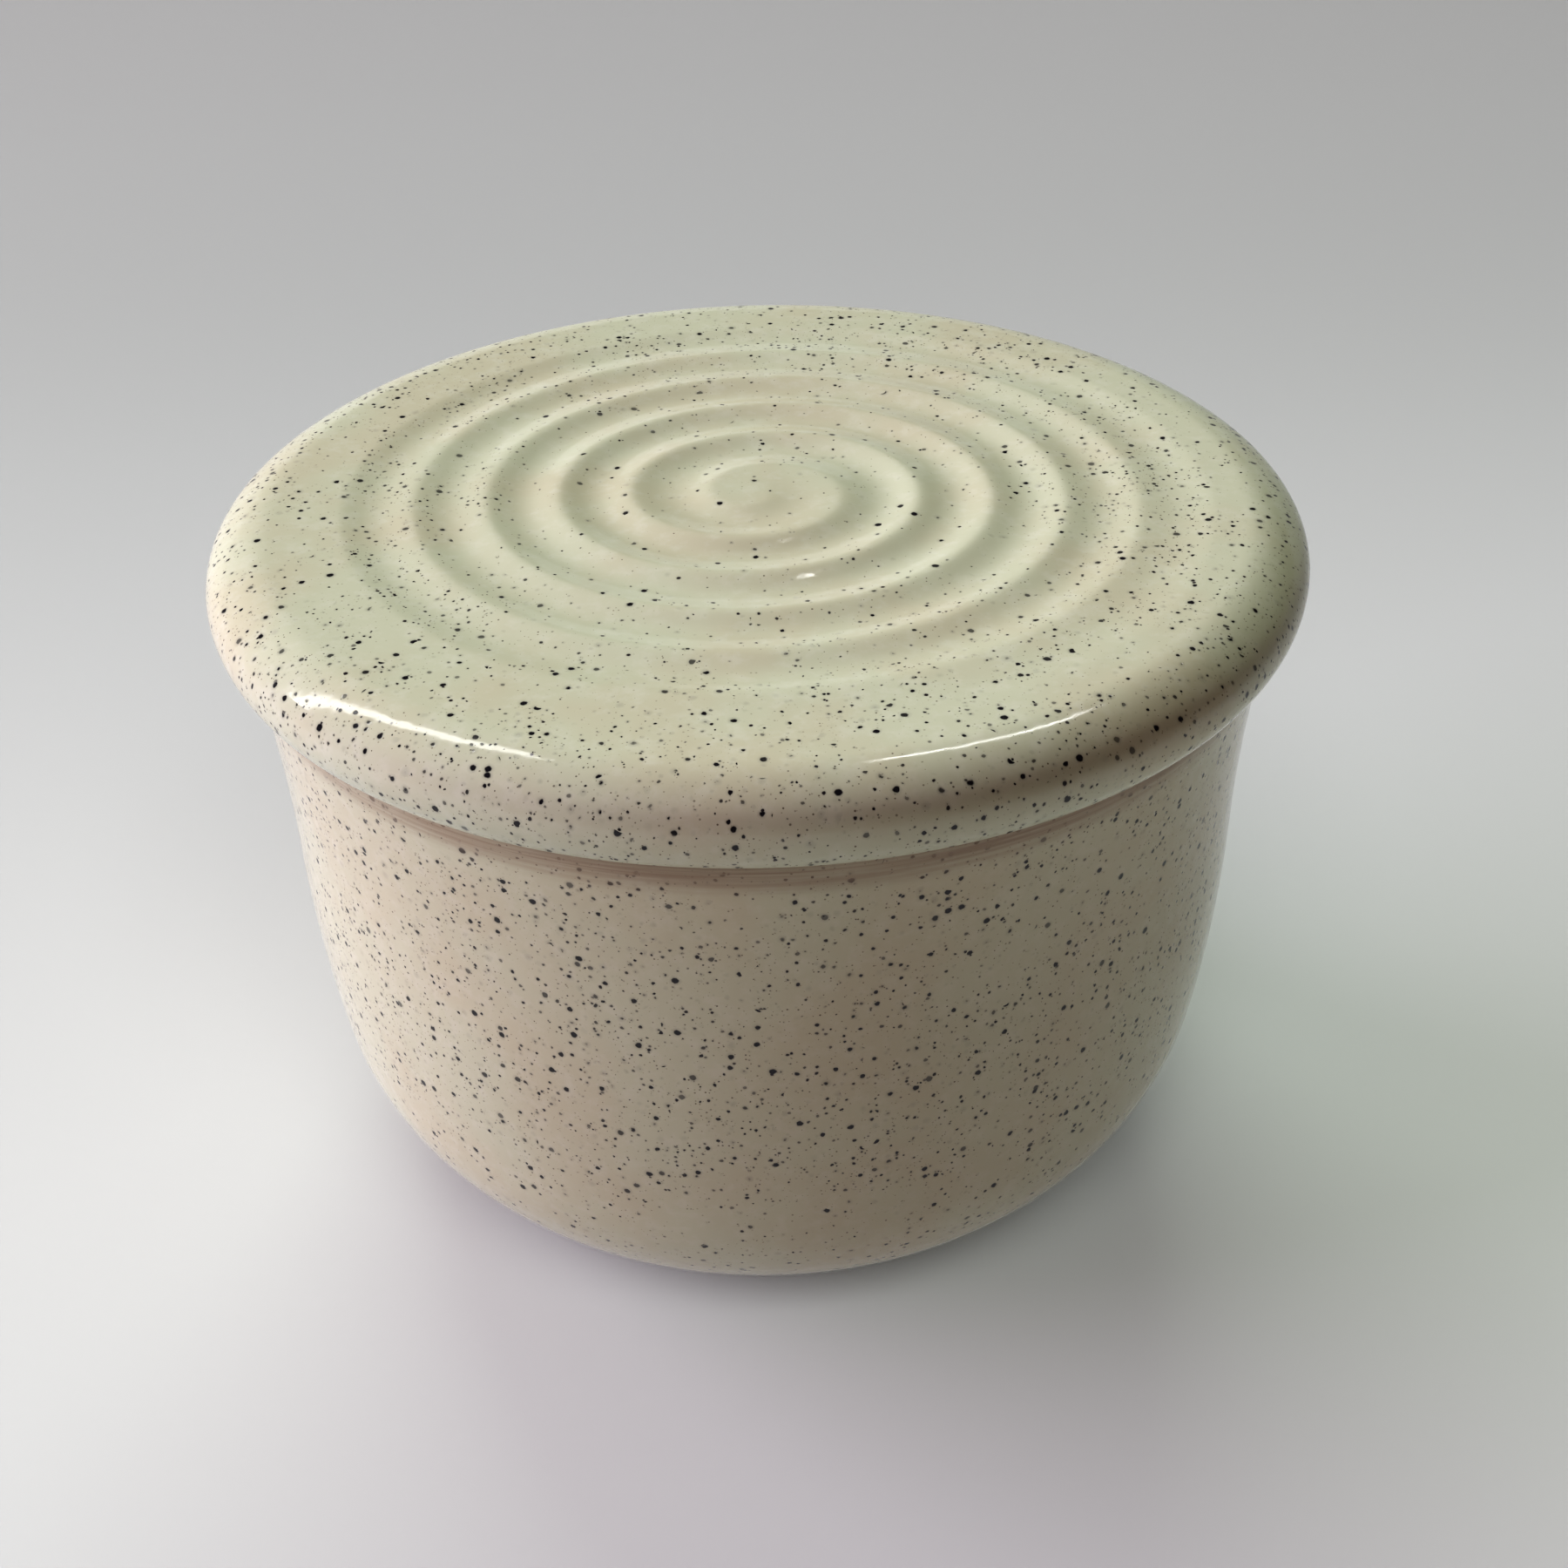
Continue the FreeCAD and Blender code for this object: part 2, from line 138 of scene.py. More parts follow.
# Specks: a power that makes most of them small, where their edges and the stains round them fade, as
# shares of a speck's radius, and how dark the stains are.
SPECK_MOSTLY_SMALL = 2.2
SPECK_EDGE = (0.7, 1.05)
STAIN_EDGE = (0.8, 1.9)
STAIN_STRENGTH = 0.22


# ---------------------------------------------------------------- outlines

def arc(centre, radius, first, last):
    """Points of an arc from one angle to another, in radians, both ends included."""
    fineness = min(radius / ARC_STEP, MOST_STEPS_PER_RADIAN)
    steps = max(LEAST_STEPS, math.ceil(abs(last - first) * fineness))
    angles = np.linspace(first, last, steps + 1)
    return [(centre[0] + radius * math.cos(a), centre[1] + radius * math.sin(a)) for a in angles]


def straight(start, end, step=ARC_STEP):
    """Points along a line, without its two ends."""
    steps = max(2, math.ceil(math.dist(start, end) / step))
    return [
        (start[0] + (end[0] - start[0]) * k / steps, start[1] + (end[1] - start[1]) * k / steps)
        for k in range(1, steps)
    ]


def angle_of(centre, place):
    """The direction from one point of the section to another, in radians."""
    return math.atan2(place[1] - centre[1], place[0] - centre[0])


def rounded(before, corner, after, radius, steps=8):
    """Points of the round that replaces a corner between two straight edges."""
    a = Vector(before) - Vector(corner)
    b = Vector(after) - Vector(corner)
    a.normalize()
    b.normalize()
    half = a.angle(b) / 2
    reach = radius / math.tan(half)
    centre = Vector(corner) + (a + b).normalized() * radius / math.sin(half)
    first = Vector(corner) + a * reach - centre
    last = Vector(corner) + b * reach - centre
    points = []
    for k in range(steps + 1):
        way = (first * (steps - k) + last * k).normalized()
        points.append(tuple(centre + way * radius))
    return points


def crossing(first, first_radius, second, second_radius):
    """The higher of the two points where two circles cross."""
    gap = math.dist(first, second)
    along = (first_radius**2 - second_radius**2 + gap**2) / (2 * gap)
    off = math.sqrt(first_radius**2 - along**2)
    way = ((second[0] - first[0]) / gap, (second[1] - first[1]) / gap)
    between = (first[0] + along * way[0], first[1] + along * way[1])
    sides = [(between[0] + side * way[1], between[1] - side * way[0]) for side in (off, -off)]
    return max(sides, key=lambda place: place[1])


def vessel_outline():
    """The crock's section: underside, heel, belly, neck, flare, lip, and back down inside to the floor."""
    flare_centre = (NECK_RADIUS + FLARE_RADIUS, NECK_HEIGHT)
    belly_centre = (NECK_RADIUS - BELLY_RADIUS, NECK_HEIGHT)
    base_edge = (BASE_RADIUS, FOOT_TOP)
    heel_centre = crossing(belly_centre, BELLY_RADIUS - HEEL_RADIUS, base_edge, HEEL_RADIUS)
    heel_turn = angle_of(belly_centre, heel_centre)
    rise = LIP_HEIGHT - NECK_HEIGHT - LIP_ROUND
    outer_top = math.pi - math.asin(rise / FLARE_RADIUS)
    inner_top = math.pi - math.asin(rise / (FLARE_RADIUS + WALL))
    heel_height = FLOOR + INNER_HEEL_RADIUS
    inner_belly = BELLY_RADIUS - WALL
    span = math.sqrt((inner_belly - INNER_HEEL_RADIUS) ** 2 - (heel_height - NECK_HEIGHT) ** 2)
    inner_heel_centre = (belly_centre[0] + span, heel_height)
    inner_turn = angle_of(belly_centre, inner_heel_centre)
    outer_lip = arc(flare_centre, FLARE_RADIUS, math.pi, outer_top)
    inner_lip = arc(flare_centre, FLARE_RADIUS + WALL, inner_top, math.pi)
    lip_lean = 0.1 * MM
    outside = (outer_lip[-1][0] + lip_lean, LIP_HEIGHT)
    inside = (inner_lip[0][0] + lip_lean, LIP_HEIGHT)
    return (
        [(0, FOOT_TOP)]
        + straight((0, FOOT_TOP), base_edge, UNDERSIDE_STEP)
        + arc(heel_centre, HEEL_RADIUS, angle_of(heel_centre, base_edge), heel_turn)
        + arc(belly_centre, BELLY_RADIUS, heel_turn, 0)[1:]
        + outer_lip[1:]
        + rounded(outer_lip[-1], outside, inside, OUTER_LIP_ROUND)
        + rounded(outside, inside, inner_lip[0], LIP_ROUND)
        + inner_lip
        + arc(belly_centre, inner_belly, 0, inner_turn)[1:]
        + arc(inner_heel_centre, INNER_HEEL_RADIUS, inner_turn, -math.pi / 2)[1:]
        + straight((inner_heel_centre[0], FLOOR), (0, FLOOR))
        + [(0, FLOOR)]
    )


def foot_outline():
    """The foot ring's section, closed: a draughted outer face and two rounded lower edges."""
    outside = (FOOT_RADIUS, FOOT_TOP)
    low_outside = (FOOT_RADIUS - FOOT_DRAFT, FOOT_LOW[2])
    low_inside = (FOOT_INNER_RADIUS, FOOT_LOW[2])
    inside = (FOOT_INNER_RADIUS, FOOT_TOP)
    return (
        [outside]
        + straight(outside, inside)
        + [inside]
        + rounded(inside, low_inside, low_outside, FOOT_ROUND)
        + straight(low_inside, low_outside)[2:-2]
        + rounded(low_inside, low_outside, outside, FOOT_ROUND)
    )


def lid_outline():
    """The lid's section: flat underside, nearly sharp edge, rolled rim, and the top in to the axis."""
    under_centre = (LID_RADIUS - RIM_UNDER_RADIUS, RIM_WIDEST)
    side_centre = (LID_RADIUS - RIM_SIDE_RADIUS, RIM_WIDEST)
    rise = LID_TOP - RIM_TOP_RADIUS - RIM_WIDEST
    roll_reach = math.sqrt((RIM_TOP_RADIUS - RIM_SIDE_RADIUS) ** 2 - rise**2)
    roll_centre = (side_centre[0] - roll_reach, LID_TOP - RIM_TOP_RADIUS)
    shoulder = angle_of(roll_centre, side_centre)
    edge_turn = -math.asin((RIM_WIDEST - LID_UNDERSIDE) / RIM_UNDER_RADIUS)
    edge = (under_centre[0] + RIM_UNDER_RADIUS * math.cos(edge_turn), LID_UNDERSIDE)
    above_edge = (edge[0] - MM * math.sin(edge_turn), edge[1] + MM * math.cos(edge_turn))
    return (
        [(0, LID_UNDERSIDE)]
        + straight((0, LID_UNDERSIDE), (edge[0] - EDGE_ROUND, LID_UNDERSIDE), LID_UNDERSIDE_STEP)
        + rounded((0, LID_UNDERSIDE), edge, above_edge, EDGE_ROUND, 5)
        + arc(under_centre, RIM_UNDER_RADIUS, edge_turn + EDGE_ROUND / RIM_UNDER_RADIUS, 0)
        + arc(side_centre, RIM_SIDE_RADIUS, 0, shoulder)[1:]
        + arc(roll_centre, RIM_TOP_RADIUS, shoulder, math.pi / 2)[1:]
        + straight((roll_centre[0], LID_TOP), (0, LID_TOP), LID_TOP_STEP)
        + [(0, LID_TOP)]
    )


def bell_outline():
    """The bell's section, closed: the upright wall, the wall drawn in below it and the round mouth."""
    centre = (BELL_RADIUS - BELL_CURVE_RADIUS, BELL_BEND)
    inner_radius = BELL_CURVE_RADIUS - BELL_WALL
    drop = BELL_MOUTH + BELL_ROUND - BELL_BEND
    outer_turn = math.asin(drop / BELL_CURVE_RADIUS)
    inner_turn = math.asin(drop / inner_radius)
    outer_wall = arc(centre, BELL_CURVE_RADIUS, 0, outer_turn)
    inner_wall = arc(centre, inner_radius, inner_turn, 0)
    mouth_lean = 0.2 * MM
    outside = (outer_wall[-1][0] - mouth_lean, BELL_MOUTH)
    inside = (inner_wall[0][0] - mouth_lean, BELL_MOUTH)
    top = BELL_HIGH[2]
    inner_top = (BELL_RADIUS - BELL_WALL, top)
    return (
        [(BELL_RADIUS, top)]
        + straight((BELL_RADIUS, top), (BELL_RADIUS, BELL_BEND))
        + outer_wall
        + rounded(outer_wall[-1], outside, inside, BELL_ROUND)
        + rounded(outside, inside, inner_wall[0], BELL_ROUND)
        + inner_wall
        + straight((inner_top[0], BELL_BEND), inner_top)
        + [inner_top]
        + straight(inner_top, (BELL_RADIUS, top))
    )


def coil_outline(wall_radius, way):
    """A coil's section, closed: smoothed with a fingertip into a hollow curve between bell and lid."""
    hollow = 1.6 * COIL
    brim = 0.35 * MM
    corner = (wall_radius, LID_UNDERSIDE)
    side = (wall_radius + way * COIL, LID_UNDERSIDE)
    under = (wall_radius, LID_UNDERSIDE - COIL)
    low = (under[0] + way * brim, under[1])
    far = (side[0], side[1] - brim)
    middle = ((low[0] + far[0]) / 2, (low[1] + far[1]) / 2)
    half = math.dist(low, far) / 2
    back = math.sqrt(hollow**2 - half**2)
    slope = math.sqrt(0.5)
    centre = (middle[0] + way * back * slope, middle[1] - back * slope)
    first = angle_of(centre, low)
    last = angle_of(centre, far)
    if last - first > math.pi:
        last -= TURN
    if first - last > math.pi:
        last += TURN
    face = arc(centre, hollow, first, last)
    return [corner, under] + face + [side]


# ---------------------------------------------------------------- meshes

def spun(name, outline, closed, shape=None):
    """Spins an outline about the axis. Its ends lie on the axis unless it is closed.
    shape(radius, angle, height) may move each point a little."""
    radius = np.array([place[0] for place in outline])
    height = np.array([place[1] for place in outline])
    angles = np.arange(SEGMENTS) * TURN / SEGMENTS
    if not closed:
        radius = radius[1:-1]
        height = height[1:-1]
    r = np.repeat(radius[:, None], SEGMENTS, axis=1)
    z = np.repeat(height[:, None], SEGMENTS, axis=1)
    a = np.repeat(angles[None, :], len(radius), axis=0)
    if shape is not None:
        r, z = shape(r, a, z)
    points = np.stack([r * np.cos(a), r * np.sin(a), z], axis=-1).reshape(-1, 3)
    rings = len(radius)
    faces = []
    for ring in range(rings if closed else rings - 1):
        following = (ring + 1) % rings
        for k in range(SEGMENTS):
            n = (k + 1) % SEGMENTS
            low = ring * SEGMENTS
            high = following * SEGMENTS
            faces.append((low + k, low + n, high + n, high + k))
    vertices = [tuple(p) for p in points]
    if not closed:
        for end, ring in ((0, 0), (-1, rings - 1)):
            pole = len(vertices)
            pole_height = outline[end][1]
            if shape is not None:
                on_axis = np.zeros((1, 1))
                _, moved = shape(on_axis, on_axis, np.full((1, 1), pole_height))
                pole_height = moved[0, 0]
            vertices.append((0, 0, pole_height))
            for k in range(SEGMENTS):
                n = (k + 1) % SEGMENTS
                first, second = (k, n) if end else (n, k)
                faces.append((ring * SEGMENTS + first, ring * SEGMENTS + second, pole))
    mesh = bpy.data.meshes.new(name)
    mesh.from_pydata(vertices, [], faces)
    bm = bmesh.new()
    bm.from_mesh(mesh)
    bmesh.ops.recalc_face_normals(bm, faces=bm.faces)
    bm.to_mesh(mesh)
    bm.free()
    mesh.shade_smooth()
    piece = bpy.data.objects.new(name, mesh)
    bpy.context.collection.objects.link(piece)
    return piece


def smoothstep(low, high, value):
    """0 below low and 1 above high, with a smooth rise between."""
    t = np.clip((value - low) / (high - low), 0, 1)
    return t * t * (3 - 2 * t)


def groove_drop(r, a):
    """How far the finger groove lies under the lid's flat top. The groove's turns are counted clockwise
    from -X, and each is one pitch further out than the one before."""
    turned = ((math.pi - a) % TURN) / TURN
    stray = GROOVE_LEAN * np.sin(a) + GROOVE_SPREAD * np.cos(a) ** 2
    stray = stray * smoothstep(STRAY_FROM, STRAY_FULL, r)
    place = (r - stray - GROOVE_CREST) / GROOVE_PITCH - turned
    whole = np.floor(place)
    along = whole + turned + 0.5
    valley = np.sin((place - whole) * math.pi) ** GROOVE_SHARPNESS
    started = smoothstep(GROOVE_FIRST_TURN - 0.4, GROOVE_FIRST_TURN + 0.6, along)
    ended = smoothstep(GROOVE_LAST_TURN - 0.25, GROOVE_LAST_TURN + 0.35, along)
    fade = started * (1 - ended)
    depth = GROOVE_DEPTH * (1 - GROOVE_SHALLOWING * smoothstep(SHALLOW_FROM_TURN, GROOVE_LAST_TURN, along))
    return depth * fade * valley


def shape_lid(r, a, z):
    """Presses the groove into the flat top only."""
    on_top = smoothstep(LID_TOP - 0.3 * MM, LID_TOP - 0.05 * MM, z)
    z = z - on_top * groove_drop(r, a)
    return r, z


def make_lid():
    return spun("lid_thrown_disc", lid_outline(), False, shape_lid)


def make_vessel():
    return spun("crock_thrown_vessel", vessel_outline(), False)


def make_foot():
    return spun("crock_foot_ring", foot_outline(), True)


def make_bell():
    return spun("lid_butter_bell", bell_outline(), True)


def make_coil(name, wall_radius, way):
    return spun(name, coil_outline(wall_radius, way), True)


# ---------------------------------------------------------------- materials

class Tree:
    """A short way to write the nodes of a material, or of the world."""

    def __init__(self, owner):
        owner.use_nodes = True
        self.owner = owner
        self.tree = owner.node_tree

    def node(self, kind, **settings):
        made = self.tree.nodes.new(kind)
        for key, value in settings.items():
            setattr(made, key, value)
        return made

    def feed(self, socket, value):
        if isinstance(value, bpy.types.NodeSocket):
            self.tree.links.new(value, socket)
        else:
            socket.default_value = value

    def maths(self, operation, *values):
        made = self.node("ShaderNodeMath", operation=operation)
        for socket, value in zip(made.inputs, values):
            self.feed(socket, value)
        return made.outputs[0]

    def ramp(self, value, low, high, low_to=0.0, high_to=1.0):
        """value from low to high becomes low_to to high_to, smoothly and held beyond."""
        made = self.node("ShaderNodeMapRange", interpolation_type="SMOOTHSTEP")
        for socket, number in zip(made.inputs, (value, low, high, low_to, high_to)):
            self.feed(socket, number)
        return made.outputs[0]

    def mix(self, share, first, second):
        made = self.node("ShaderNodeMix", data_type="RGBA")
        self.feed(made.inputs["Factor"], share)
        self.feed(made.inputs["A"], first)
        self.feed(made.inputs["B"], second)
        return made.outputs["Result"]

    def noise(self, place, scale, detail=2.0, roughness=0.5):
        made = self.node("ShaderNodeTexNoise")
        self.feed(made.inputs["Vector"], place)
        made.inputs["Scale"].default_value = scale
        made.inputs["Detail"].default_value = detail
        made.inputs["Roughness"].default_value = roughness
        return made

    def vector(self, operation, first, second):
        made = self.node("ShaderNodeVectorMath", operation=operation)
        self.feed(made.inputs[0], first)
        socket = made.inputs["Scale"] if operation == "SCALE" else made.inputs[1]
        self.feed(socket, second)
        return made.outputs[0]


def new_material(name):
    """An empty material, with its tree of nodes to write in."""
    return Tree(bpy.data.materials.new(name))


def soft_disc(t, away, radius, inner, outer):
    """1 in the middle of a disc, and 0 beyond it. The fade runs between two shares of the radius."""
    fade_start = t.maths("MULTIPLY", radius, inner)
    fade_end = t.maths("MULTIPLY", radius, outer)
    return t.ramp(away, fade_start, fade_end, low_to=1.0, high_to=0.0)


def speck_layer(t, place, spacing, smallest, largest, share, density):
    """Round specks of iron in the glaze. They lie at random through the clay, about one in each spacing,
    in millimetres; share of them show where density is 1. Gives how deep a point lies in a speck, how deep
    it lies in the stain round it, and a random number of the speck's own."""
    cells = t.node("ShaderNodeTexVoronoi")
    t.feed(cells.inputs["Vector"], place)
    cells.inputs["Scale"].default_value = 1 / spacing
    draws = t.node("ShaderNodeSeparateColor")
    t.feed(draws.inputs["Color"], cells.outputs["Color"])
    away = t.maths("MULTIPLY", cells.outputs["Distance"], spacing)
    growth = t.maths("POWER", draws.outputs[0], SPECK_MOSTLY_SMALL)
    radius = t.maths("MULTIPLY_ADD", growth, largest - smallest, smallest)
    shown = t.maths("LESS_THAN", draws.outputs[1], t.maths("MULTIPLY", density, share))
    radius = t.maths("MULTIPLY", radius, shown)
    core = soft_disc(t, away, radius, *SPECK_EDGE)
    stain = soft_disc(t, away, radius, *STAIN_EDGE)
    return t.maths("MULTIPLY", core, shown), t.maths("MULTIPLY", stain, shown), draws.outputs[2]


def object_place(t):
    """A point's place on the piece in millimetres: as a vector, its height and its distance from the axis."""
    where = t.node("ShaderNodeTexCoord").outputs["Object"]
    place = t.vector("SCALE", where, 1 / MM)
    parts = t.node("ShaderNodeSeparateXYZ")
    t.feed(parts.inputs[0], place)
    x, y, z = parts.outputs
    across = t.maths("SQRT", t.maths("ADD", t.maths("MULTIPLY", x, x), t.maths("MULTIPLY", y, y)))
    return place, z, across


def add_glaze(t, place, density):
    """Glossy ivory glaze with iron specks bleeding through it. Gives its colour, roughness and height.
    Lengths are in millimetres, and a noise's scale is in waves for each millimetre."""
    # Uneven places make the specks' outlines irregular, and noise gathers the specks in loose clusters.
    shift = t.noise(place, scale=1.7).outputs["Color"]
    middle_grey = (0.5, 0.5, 0.5)
    unevenness = 0.3
    wander = t.vector("SCALE", t.vector("SUBTRACT", shift, middle_grey), unevenness)
    uneven = t.vector("ADD", place, wander)
    gathering = t.noise(place, scale=0.17, roughness=0.6).outputs["Fac"]
    clusters = t.ramp(gathering, 0.36, 0.64, low_to=0.45, high_to=1.7)
    crowd = t.maths("MULTIPLY", density, clusters)
    # Three sizes of speck, each size in a clay of its own, shifted from the others.
    big, big_stain, big_draw = speck_layer(
        t, uneven, spacing=1.3, smallest=0.15, largest=0.44, share=0.5, density=crowd
    )
    shifted = t.vector("ADD", uneven, (7.3, 1.7, 4.1))
    middle, middle_stain, middle_draw = speck_layer(
        t, shifted, spacing=0.9, smallest=0.10, largest=0.25, share=0.52, density=crowd
    )
    shifted = t.vector("ADD", place, (3.1, 9.2, 6.6))
    dust, _, dust_draw = speck_layer(
        t, shifted, spacing=0.52, smallest=0.06, largest=0.13, share=0.6, density=crowd
    )

    cloud = t.noise(place, scale=0.055, detail=3.0, roughness=0.55).outputs["Fac"]
    milk = t.noise(place, scale=0.5, detail=3.0, roughness=0.6).outputs["Fac"]
    colour = t.mix(t.ramp(cloud, 0.35, 0.65), IVORY, IVORY_WARM)
    colour = t.mix(t.ramp(milk, 0.45, 0.75, high_to=0.35), colour, IVORY_PALE)
    stain = t.maths("MAXIMUM", big_stain, middle_stain)
    colour = t.mix(t.maths("MULTIPLY", stain, STAIN_STRENGTH), colour, SPECK_STAIN)
    dust_strength = t.ramp(dust_draw, 0.2, 1.0, low_to=0.35, high_to=0.85)
    colour = t.mix(t.maths("MULTIPLY", dust, dust_strength), colour, SPECK_BROWN)
    middle_strength = t.ramp(middle_draw, 0.0, 0.8, low_to=0.6)
    colour = t.mix(t.maths("MULTIPLY", middle, middle_strength), colour, SPECK_DARK)
    big_strength = t.ramp(big_draw, 0.0, 0.4, low_to=0.7)
    colour = t.mix(t.maths("MULTIPLY", big, big_strength), colour, SPECK_BLACK)

    # Relief: slow waves like orange peel, a fine grain, and a small pit at each big speck.
    peel_depth = 0.05
    grain_depth = 0.004
    pit_depth = 0.012
    peel = t.noise(place, scale=0.22).outputs["Fac"]
    grain = t.noise(place, scale=1.4).outputs["Fac"]
    height = t.maths("MULTIPLY", peel, peel_depth)
    height = t.maths("ADD", height, t.maths("MULTIPLY", grain, grain_depth))
    height = t.maths("SUBTRACT", height, t.maths("MULTIPLY", big, pit_depth))
    speck_dullness = 0.1
    roughness = t.ramp(milk, 0.3, 0.7, low_to=0.06, high_to=0.12)
    roughness = t.maths("ADD", roughness, t.maths("MULTIPLY", big, speck_dullness))
    return colour, roughness, height


def add_bare_clay(t, place):
    """Unglazed stoneware: buff, dry, with fine sand and a few iron specks."""
    tone = t.noise(place, scale=0.35, detail=4.0, roughness=0.6).outputs["Fac"]
    sand = t.noise(place, scale=3.2, detail=3.0, roughness=0.7).outputs["Fac"]
    colour = t.mix(t.ramp(tone, 0.3, 0.7), CLAY, CLAY_WARM)
    colour = t.mix(t.ramp(sand, 0.55, 0.8, high_to=0.5), colour, CLAY_SAND)
    specks, _, _ = speck_layer(t, place, spacing=1.1, smallest=0.1, largest=0.3, share=0.4, density=1.0)
    speck_strength = 0.85
    colour = t.mix(t.maths("MULTIPLY", specks, speck_strength), colour, SPECK_BROWN)
    sand_depth = 0.05
    tone_depth = 0.06
    height = t.maths("ADD", t.maths("MULTIPLY", sand, sand_depth), t.maths("MULTIPLY", tone, tone_depth))
    return colour, t.ramp(sand, 0.3, 0.7, low_to=0.72, high_to=0.92), height


def finish_material(t, colour, roughness, height):
    """Joins a finish to the shader. Its height is in millimetres."""
    shader = t.tree.nodes["Principled BSDF"]
    t.feed(shader.inputs["Base Color"], colour)
    t.feed(shader.inputs["Roughness"], roughness)
    shader.inputs["IOR"].default_value = GLAZE_IOR
    bump = t.node("ShaderNodeBump")
    bump.inputs["Distance"].default_value = MM
    t.feed(bump.inputs["Height"], height)
    t.feed(shader.inputs["Normal"], bump.outputs["Normal"])
    return t.owner


def blend_looks(t, share, first, second):
    """Two finishes on one piece: share is 0 where the first shows and 1 where the second does."""
    colour = t.mix(share, first[0], second[0])
    numbers = []
    for a, b in zip(first[1:], second[1:]):
        step = t.maths("SUBTRACT", b, a)
        numbers.append(t.maths("MULTIPLY_ADD", step, share, a))
    return colour, *numbers


def make_lid_glaze():
    """The lid's glaze, with few specks in the middle of the spiral and most on the rolled rim."""
    t = new_material("lid_glaze")
    place, _, across = object_place(t)
    spiral_middle = 20.0
    spiral_edge = 46.0
    rim_start = 54.0
    rim_side = 58.5
    on_top = t.ramp(across, spiral_middle, spiral_edge, low_to=0.28, high_to=1.1)
    on_rim = t.ramp(across, rim_start, rim_side, high_to=1.5)
    return finish_material(t, *add_glaze(t, place, t.maths("ADD", on_top, on_rim)))


def make_crock_glaze():
    """The crock's glaze, with most specks round the belly and the lid rim's shadow painted in brown just
    under the lip.
    It is wiped off in a ring round the foot. Heights are in millimetres over the table."""
    t = new_material("crock_glaze")
    place, z, across = object_place(t)
    belly_low = 27.0
    belly_middle = 38.0
    wall_low = 46.0
    wall_high = 58.0
    rising = t.ramp(z, belly_low, belly_middle, low_to=0.7, high_to=2.3)
    falling = t.ramp(z, wall_low, wall_high, high_to=0.6)
    colour, roughness, height = add_glaze(t, place, t.maths("SUBTRACT", rising, falling))

    # Painted shadow of the lid's rim: a brown band just under the lip that fades out downwards, broken into
    # level streaks like throwing lines.
    lid_shadow_low = 71.2
    lid_shadow_full = 74.6
    drawn_out = (0.06, 0.06, 2.2)
    lines = t.noise(t.vector("MULTIPLY", place, drawn_out), scale=1.0, detail=3.0).outputs["Fac"]
    lid_shadow_band = t.ramp(z, lid_shadow_low, lid_shadow_full)
    lid_shadow = t.maths("MULTIPLY", lid_shadow_band, t.ramp(lines, 0.3, 0.7, low_to=0.5, high_to=0.95))
    # Painted shade: the crock's glaze is dimmed warm all over, standing in for the shade on its walls.
    shade_tinted = t.vector("MULTIPLY", colour, WALL_PAINTED_SHADE[:3])
    glaze = t.mix(lid_shadow, shade_tinted, LID_SHADOW_BROWN), roughness, height

    # The wiped ring's edges waver.
    bare = add_bare_clay(t, place)
    wipe_top = FOOT_TOP / MM
    wipe_inside = 24.4
    wavering = 1.6
    wave = t.maths("MULTIPLY", t.noise(place, scale=0.12).outputs["Fac"], wavering)
    by_height = t.ramp(t.maths("SUBTRACT", z, wave), wipe_top, wipe_top + 0.3, low_to=1.0, high_to=0.0)
    by_radius = t.ramp(t.maths("ADD", across, wave), wipe_inside, wipe_inside + 0.5)
    return finish_material(t, *blend_looks(t, t.maths("MULTIPLY", by_height, by_radius), glaze, bare))


def make_bell_glaze():
    """The bell's glaze, wiped off its mouth, which the lid stood on in the kiln."""
    t = new_material("bell_glaze")
    place, z, _ = object_place(t)
    glaze = add_glaze(t, place, density=0.7)
    bare = add_bare_clay(t, place)
    wavering = 1.4
    wave = t.maths("MULTIPLY", t.noise(place, scale=0.15).outputs["Fac"], wavering)
    wipe_top = BELL_MOUTH / MM + 1.3
    wiped = t.ramp(t.maths("SUBTRACT", z, wave), wipe_top, wipe_top + 0.3, low_to=1.0, high_to=0.0)
    return finish_material(t, *blend_looks(t, wiped, glaze, bare))


def make_bare_stoneware():
    """The foot ring's unglazed clay."""
    t = new_material("bare_stoneware")
    place, _, _ = object_place(t)
    return finish_material(t, *add_bare_clay(t, place))


# ---------------------------------------------------------------- the pieces

crock_glaze = make_crock_glaze()
lid_glaze = make_lid_glaze()
bell_glaze = make_bell_glaze()
inner_wall = BELL_RADIUS - BELL_WALL
pieces = [
    (make_vessel(), "crock", "crock_vessel", "speckled_glaze", crock_glaze),
    (make_foot(), "crock", "foot_ring", "bare_stoneware", make_bare_stoneware()),
    (make_lid(), "lid", "lid_disc", "speckled_glaze", lid_glaze),
    (make_bell(), "lid", "butter_bell", "bell_glaze", bell_glaze),
    (make_coil("lid_outer_luting", BELL_RADIUS, 1), "lid", "outer_luting_coil", "bell_glaze", bell_glaze),
    (make_coil("lid_inner_luting", inner_wall, -1), "lid", "inner_luting_coil", "bell_glaze", bell_glaze),
]
for piece, body, node, slot, material in pieces:
    piece.data.materials.append(material)
    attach(piece, body)
    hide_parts(node)


# ---------------------------------------------------------------- stage, light and camera

